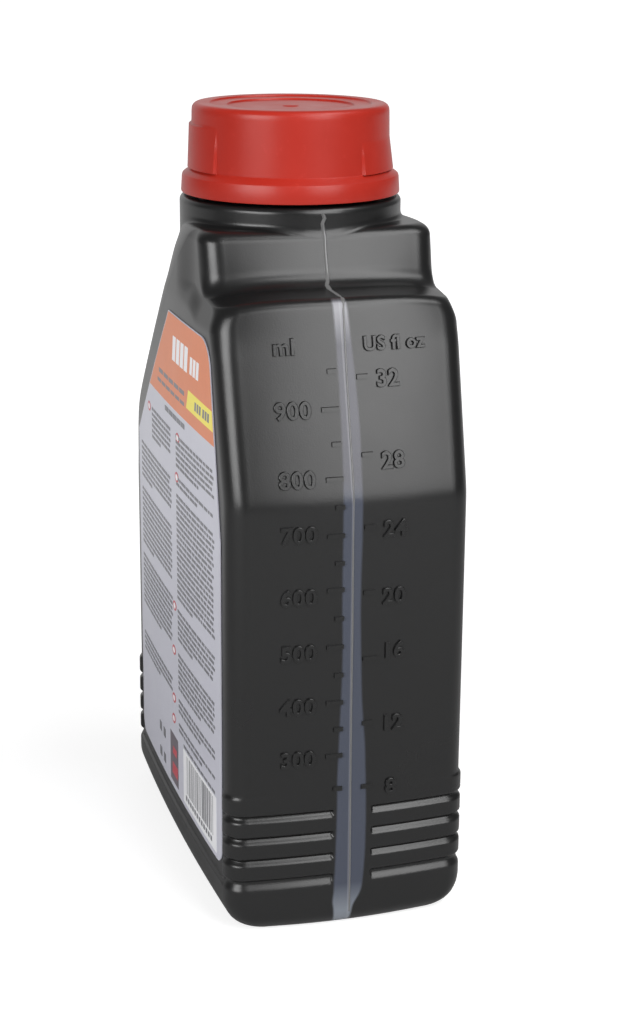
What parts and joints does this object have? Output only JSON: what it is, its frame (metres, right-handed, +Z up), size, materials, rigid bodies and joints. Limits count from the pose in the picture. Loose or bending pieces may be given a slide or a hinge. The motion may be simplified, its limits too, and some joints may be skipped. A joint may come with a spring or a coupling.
{
  "type": "fork oil bottle",
  "caption": "Rectangular blown plastic oil bottle with ribbed foot, sloping shoulder, sight strip scale on one narrow side, two labels and a round screw cap that unscrews",
  "frame": {"origin": "middle of the base, on the surface the bottle stands on", "axes": "+Z up along the neck, -Y and +Y out of the two label faces, +X out of the narrow side with the scale"},
  "size_m": [0.1148, 0.0654, 0.2018],
  "materials": {
    "black_plastic": "satin black polyethylene with a fine blown grain",
    "label_print": "smooth printed film",
    "foil": "bright foil",
    "liner_foam": "matt white foam",
    "red_plastic": "satin red polypropylene"
  },
  "bodies": {
    "bottle_body": {"bottle": "black_plastic", "back_label": "label_print", "front_label": "label_print", "mouth_foil": "foil"},
    "liner_body": {"cap_liner": "liner_foam"},
    "cap_body": {"screw_cap": "red_plastic"}
  },
  "joints": [
    {"name": "cap_rise", "type": "slide", "parent": "bottle_body", "child": "liner_body", "axis": [0, 0, 1], "range_m": [0, 0.0081]},
    {"name": "cap_turn", "type": "hinge", "parent": "liner_body", "child": "cap_body", "pos_m": [-0.001, 0, 0.19], "axis": [0, 0, 1], "range_deg": [0, 720]}
  ],
  "couplings": [
    {"joint": "cap_rise", "follows": "cap_turn", "m_per_rad": 0.00063662}
  ]
}
